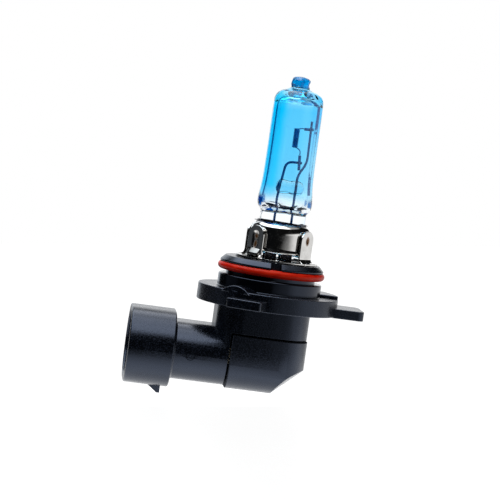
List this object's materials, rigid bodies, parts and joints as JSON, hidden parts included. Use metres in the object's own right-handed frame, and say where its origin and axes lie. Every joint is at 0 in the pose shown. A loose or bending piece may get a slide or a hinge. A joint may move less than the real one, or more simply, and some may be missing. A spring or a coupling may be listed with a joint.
{
  "type": "headlight bulb",
  "caption": "Right-angle halogen headlight bulb: blue glass capsule in a metal cup and legs on a keyed plastic base with a red O-ring and an oval connector socket.",
  "frame": {"origin": "where the base axis meets the reference plane, the plane of the side lug's upper face", "axes": "+Z along the base axis towards the glass tip, -X out of the connector socket's mouth, -Y the front with the key rib"},
  "size_m": [0.0446, 0.0347, 0.0641],
  "materials": {
    "black_nylon": "satin with fine grain",
    "red_rubber": "smooth silicone",
    "sealant": "matte",
    "blue_glass": "clear with a blue coating that fades towards the bottom",
    "clear_glass": "clear",
    "tungsten": "dull",
    "molybdenum": "drawn wire",
    "plated_steel": "bright plating with brown heat tint at the spot welds",
    "tinned_brass": "tinned"
  },
  "bodies": {
    "root": {"base_housing": "black_nylon", "elbow_cover": "black_nylon", "o_ring": "red_rubber", "lead_seal": "sealant", "glass_envelope": "blue_glass", "glass_bridge": "clear_glass", "filament": "tungsten", "short_post": "molybdenum", "long_post": "molybdenum", "lower_clamp": "molybdenum", "upper_clamp": "molybdenum", "left_lead": "molybdenum", "right_lead": "molybdenum", "bulb_cup": "plated_steel", "pinch_clip": "plated_steel", "leg_ring": "plated_steel", "left_ferrule": "tinned_brass", "right_ferrule": "tinned_brass", "front_terminal": "tinned_brass", "rear_terminal": "tinned_brass"}
  },
  "joints": []
}
